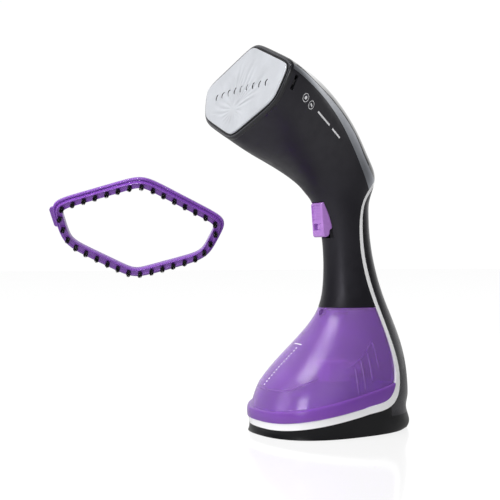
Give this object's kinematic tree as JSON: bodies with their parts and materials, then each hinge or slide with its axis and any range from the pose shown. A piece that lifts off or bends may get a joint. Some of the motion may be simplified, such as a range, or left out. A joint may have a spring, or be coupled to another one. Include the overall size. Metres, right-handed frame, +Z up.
{
  "type": "garment steamer",
  "caption": "Upright hand-held garment steamer with hexagonal steam plate, curved grip, clear water tank foot and a clip-on brush ring.",
  "frame": {"origin": "centre of the footprint, on the surface the steamer stands on", "axes": "+Z up, the steam plate and the front of the tank face -Y, width along X"},
  "size_m": [0.1679, 0.2782, 0.3108],
  "materials": {
    "soft_black": "soft-touch matt black",
    "gloss_black": "polished black",
    "silver": "satin silver lacquer",
    "white_gloss": "polished white",
    "purple_clear": "clear tinted, polished",
    "purple_clear_base": "clear tinted, darker",
    "purple": "satin",
    "dark_trim": "satin dark grey",
    "inner_plastic": "moulded",
    "plate_metal": "anodised satin",
    "cast_metal": "die cast",
    "steel": "plated",
    "rubber": "moulded",
    "silicone": "moulded",
    "bristle": "nylon tufts",
    "board": "laminate",
    "purple_inner": "moulded"
  },
  "bodies": {
    "root": {"base_foot": "soft_black", "base_plate": "inner_plastic", "base_screws": "steel", "board_parts": "inner_plastic", "body_shell": "soft_black", "boiler_block": "cast_metal", "boiler_inlet": "steel", "boiler_lid": "cast_metal", "boiler_screws": "steel", "boiler_seal": "silicone", "circuit_board": "board", "cord_clamp": "inner_plastic", "cord_gland": "rubber", "foot_pad": "rubber", "head_bezel": "dark_trim", "head_plate": "plate_metal", "heat_shield": "inner_plastic", "heating_element": "steel", "microswitch": "inner_plastic", "neck_floor": "inner_plastic", "plate_gasket": "rubber", "pressure_hose": "silicone", "pump_head": "inner_plastic", "pump_motor": "steel", "pump_mounts": "rubber", "rear_cover": "gloss_black", "silver_trim": "silver", "suction_hose": "silicone", "suction_spigot": "inner_plastic", "tank_dock": "inner_plastic", "thermal_fuse": "inner_plastic", "thermostat": "steel", "top_cover": "gloss_black", "trigger_bracket": "inner_plastic", "trigger_pin": "steel", "trigger_spring": "steel", "white_trim": "white_gloss", "wiring_loom": "rubber"},
    "tank": {"water_tank": "purple_clear", "tank_base": "purple_clear_base", "suction_filter": "purple_inner", "outlet_bush": "rubber"},
    "plug": {"filler_plug": "rubber", "filler_seal": "silicone"},
    "tank_button": {"tank_button": "inner_plastic"},
    "trigger": {"trigger": "purple"},
    "trigger_lock": {"trigger_lock": "purple"},
    "brush": {"brush_frame": "purple", "brush_bristles": "bristle", "brush_hooks": "purple", "brush_tab": "purple"}
  },
  "joints": [
    {"name": "trigger_press", "type": "hinge", "parent": "root", "child": "trigger", "pos_m": [0, 0.0045, 0.183], "axis": [1, 0, 0], "range_deg": [0, 5], "stiffness_Nm_per_rad": 0.6, "springref_deg": -2.86, "deforming": ["trigger_spring"]},
    {"name": "trigger_lock_slide", "type": "slide", "parent": "trigger", "child": "trigger_lock", "axis": [-1, 0, 0], "range_m": [0, 0.0048]},
    {"name": "tank_slide", "type": "slide", "parent": "root", "child": "tank", "axis": [0, -1, 0], "range_m": [0, 0.13]},
    {"name": "filler_plug_lift", "type": "slide", "parent": "tank", "child": "plug", "axis": [0, 0, 1], "range_m": [0, 0.009]},
    {"name": "tank_button_press", "type": "slide", "parent": "tank", "child": "tank_button", "axis": [0, 1, 0], "range_m": [0, 0.0015], "stiffness_N_per_m": 300, "springref_m": -0.0005},
    {"name": "brush_push_on", "type": "slide", "parent": "root", "child": "brush", "axis": [-0.7809, 0.424, 0.4586], "range_m": [0, 0.03]}
  ]
}
